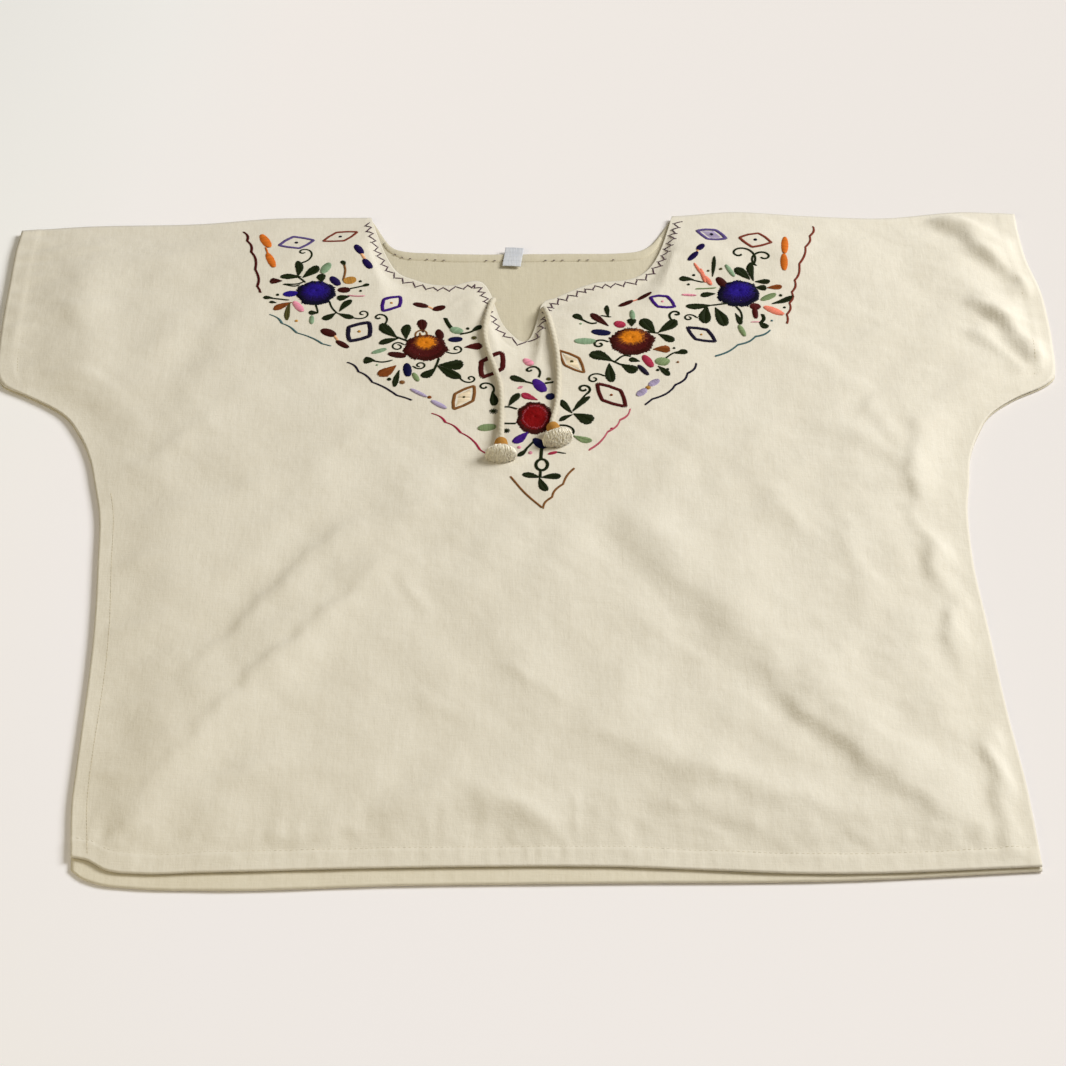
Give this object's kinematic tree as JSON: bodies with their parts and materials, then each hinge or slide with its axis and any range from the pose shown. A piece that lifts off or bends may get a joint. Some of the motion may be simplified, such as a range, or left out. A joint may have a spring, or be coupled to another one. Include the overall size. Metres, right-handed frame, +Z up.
{
  "type": "embroidered tunic laid flat",
  "caption": "Short cream cotton tunic with sleeves cut in one, laid flat: scooped neck with a V notch, two tie cords ending in tassels, embroidered flower garland round the neck.",
  "frame": {"origin": "centre of the garment's bounding box in plan, on the surface it rests on", "axes": "+X to the right of the garment as it lies, +Y from the hem to the shoulders, +Z up, away from the surface"},
  "size_m": [0.7844, 0.6921, 0.0217],
  "materials": {
    "front_cotton": "slubby cream plain-weave cotton, soft and slightly crinkled, with flower embroidery round the neck",
    "back_cotton": "the same cream cotton seen from its inside",
    "label_tape": "smooth white woven tape, blank",
    "cord_cotton": "twisted cream cotton cord",
    "tassel_yarn": "soft cream cotton yarn, its neck wrapped in ochre thread"
  },
  "bodies": {
    "root": {"back_panel": "back_cotton", "front_panel": "front_cotton", "back_neck_facing": "back_cotton", "neck_label": "label_tape", "tie_cord_left": "cord_cotton", "tie_cord_right": "cord_cotton", "tassel_left": "tassel_yarn", "tassel_right": "tassel_yarn"}
  },
  "joints": []
}
